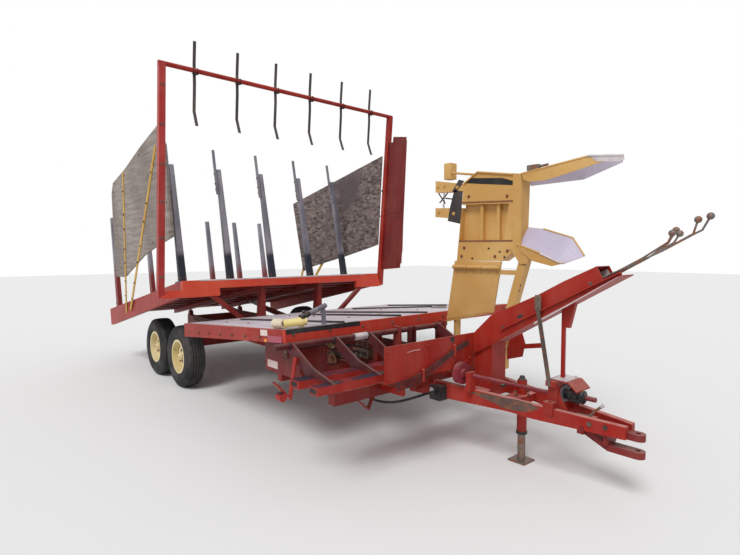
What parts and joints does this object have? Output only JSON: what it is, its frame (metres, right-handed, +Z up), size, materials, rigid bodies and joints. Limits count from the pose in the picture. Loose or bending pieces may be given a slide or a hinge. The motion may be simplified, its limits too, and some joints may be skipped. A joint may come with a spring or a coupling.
{
  "type": "self-loading bale wagon",
  "caption": "Towed tandem-axle hay wagon with a folding side loader, hinged tables and a tilting load rack under a hooked gantry.",
  "frame": {"origin": "centre of the hitch pin hole between the two jaws", "axes": "+X points forward, the way the wagon is towed; +Y to its left; +Z up, along the hitch pin"},
  "size_m": [7.9326, 3.35, 3.936],
  "materials": {
    "frame_paint": "worn dark red paint with road dust",
    "red_paint": "sun-faded red paint, chipped and dusty",
    "dark_red_paint": "dull dark red paint, scratched",
    "yellow_paint": "faded yellow paint with rust at the seams",
    "grey_steel": "weathered galvanised steel",
    "bare_steel": "bare worn steel",
    "worn_deck": "deck sheet worn pale by bales",
    "deck_wood": "weathered grey-brown boards",
    "grey_plywood": "weathered plywood",
    "flake_board": "dark weathered flake board",
    "rim_paint": "pale yellow wheel paint, dusty",
    "rod_chrome": "polished rod",
    "tyre_rubber": "dusty rubber",
    "hose_rubber": "dusty black hose"
  },
  "bodies": {
    "chassis": {"axle_tube": "frame_paint", "walking_beams": "frame_paint", "frame_rails": "frame_paint", "frame_crossmembers": "frame_paint", "front_outrigger": "frame_paint", "pivot_ears": "frame_paint", "frame_stands": "frame_paint", "front_shield": "red_paint", "boom": "red_paint", "control_levers": "bare_steel", "tongue_frame": "red_paint", "hitch_jaws": "bare_steel", "jack_tube": "red_paint", "drive_pedestal": "red_paint", "drive_shafts": "bare_steel", "hydraulic_pump": "bare_steel", "hydraulic_hose": "hose_rubber", "toolbox": "red_paint", "loader_pivot_brackets": "yellow_paint"},
    "wheel_front_right": {"tyre_front_right": "tyre_rubber", "rim_front_right": "rim_paint"},
    "wheel_rear_right": {"tyre_rear_right": "tyre_rubber", "rim_rear_right": "rim_paint"},
    "wheel_front_left": {"tyre_front_left": "tyre_rubber", "rim_front_left": "rim_paint"},
    "wheel_rear_left": {"tyre_rear_left": "tyre_rubber", "rim_rear_left": "rim_paint"},
    "jack": {"jack_leg": "bare_steel"},
    "first_table": {"first_table_arms": "red_paint", "first_table_beams": "red_paint"},
    "second_table": {"second_table_frame": "frame_paint", "second_table_sides": "red_paint", "second_table_front_beam": "red_paint", "second_table_deck": "worn_deck"},
    "load_rack": {"rack_side_rails": "red_paint", "rack_underframe": "frame_paint", "rack_deck_boards": "deck_wood", "rack_front_beam": "red_paint", "rear_tines": "red_paint", "gantry_post_left": "red_paint", "gantry_post_right": "red_paint", "gantry_bar": "red_paint", "gantry_hooks": "grey_steel", "side_panel_right": "grey_plywood", "side_panel_left": "flake_board", "panel_braces": "yellow_paint", "guide_sheet": "dark_red_paint"},
    "rolling_rack": {"rolling_carriage": "grey_steel", "tall_tines": "grey_steel"},
    "loader": {"loader_trough": "yellow_paint", "loader_transition": "yellow_paint", "loader_flares": "yellow_paint", "loader_leg": "yellow_paint", "loader_guard": "red_paint"},
    "rack_barrels": {"rack_cylinders": "frame_paint"},
    "rack_rods": {"rack_cylinder_rods": "rod_chrome"},
    "table_barrel": {"table_cylinder": "frame_paint"},
    "table_rod": {"table_cylinder_rod": "rod_chrome"},
    "first_barrel": {"first_cylinder": "frame_paint"},
    "first_rod": {"first_cylinder_rod": "rod_chrome"}
  },
  "joints": [
    {"name": "wheel_front_right_axle", "type": "hinge", "parent": "chassis", "child": "wheel_front_right", "pos_m": [-4.867, -1.14, -0.02], "axis": [0, 1, 0], "continuous": true},
    {"name": "wheel_rear_right_axle", "type": "hinge", "parent": "chassis", "child": "wheel_rear_right", "pos_m": [-5.717, -1.14, -0.02], "axis": [0, 1, 0], "continuous": true},
    {"name": "wheel_front_left_axle", "type": "hinge", "parent": "chassis", "child": "wheel_front_left", "pos_m": [-4.867, 1.14, -0.02], "axis": [0, 1, 0], "continuous": true},
    {"name": "wheel_rear_left_axle", "type": "hinge", "parent": "chassis", "child": "wheel_rear_left", "pos_m": [-5.717, 1.14, -0.02], "axis": [0, 1, 0], "continuous": true},
    {"name": "jack_slide", "type": "slide", "parent": "chassis", "child": "jack", "axis": [0, 0, 1], "range_m": [0, 0.2]},
    {"name": "first_table_hinge", "type": "hinge", "parent": "chassis", "child": "first_table", "pos_m": [-1.892, -0.66, 0.565], "axis": [0, -1, 0], "range_deg": [0, 90]},
    {"name": "second_table_hinge", "type": "hinge", "parent": "chassis", "child": "second_table", "pos_m": [-3.992, 0, 0.413], "axis": [0, -1, 0], "range_deg": [0, 85]},
    {"name": "rack_hinge", "type": "hinge", "parent": "chassis", "child": "load_rack", "pos_m": [-6.572, 0, 0.3], "axis": [0, -1, 0], "range_deg": [0, 78]},
    {"name": "rolling_rack_slide", "type": "slide", "parent": "load_rack", "child": "rolling_rack", "axis": [-0.9833, 0, -0.1822], "range_m": [0, 2.2]},
    {"name": "loader_hinge", "type": "hinge", "parent": "chassis", "child": "loader", "pos_m": [-1.642, 0.46, 0.37], "axis": [-1, 0, 0], "range_deg": [0, 105]},
    {"name": "rack_barrels_hinge", "type": "hinge", "parent": "chassis", "child": "rack_barrels", "pos_m": [-4.332, 0, 0.3], "axis": [0, -1, 0], "range_deg": [-10.29, 0]},
    {"name": "rack_rods_slide", "type": "slide", "parent": "rack_barrels", "child": "rack_rods", "axis": [-0.9929, 0, 0.1185], "range_m": [0, 0.815]},
    {"name": "table_barrel_hinge", "type": "hinge", "parent": "chassis", "child": "table_barrel", "pos_m": [-2.062, 0, 0.3], "axis": [0, -1, 0], "range_deg": [-20.06, 0]},
    {"name": "table_rod_slide", "type": "slide", "parent": "table_barrel", "child": "table_rod", "axis": [-0.9978, 0, 0.0666], "range_m": [0, 0.783]},
    {"name": "first_barrel_hinge", "type": "hinge", "parent": "chassis", "child": "first_barrel", "pos_m": [-2.342, -0.2, 0.3], "axis": [0, -1, 0], "range_deg": [0, 22.22]},
    {"name": "first_rod_slide", "type": "slide", "parent": "first_barrel", "child": "first_rod", "axis": [0.9999, 0, -0.0106], "range_m": [0, 0.306]}
  ],
  "couplings": [
    {"joint": "rack_barrels_hinge", "follows": "rack_hinge", "ratio": -0.13177},
    {"joint": "rack_rods_slide", "follows": "rack_hinge", "m_per_rad": 0.59739},
    {"joint": "table_barrel_hinge", "follows": "second_table_hinge", "ratio": -0.23576},
    {"joint": "table_rod_slide", "follows": "second_table_hinge", "m_per_rad": 0.52677},
    {"joint": "first_barrel_hinge", "follows": "first_table_hinge", "ratio": 0.24672},
    {"joint": "first_rod_slide", "follows": "first_table_hinge", "m_per_rad": 0.19374}
  ]
}
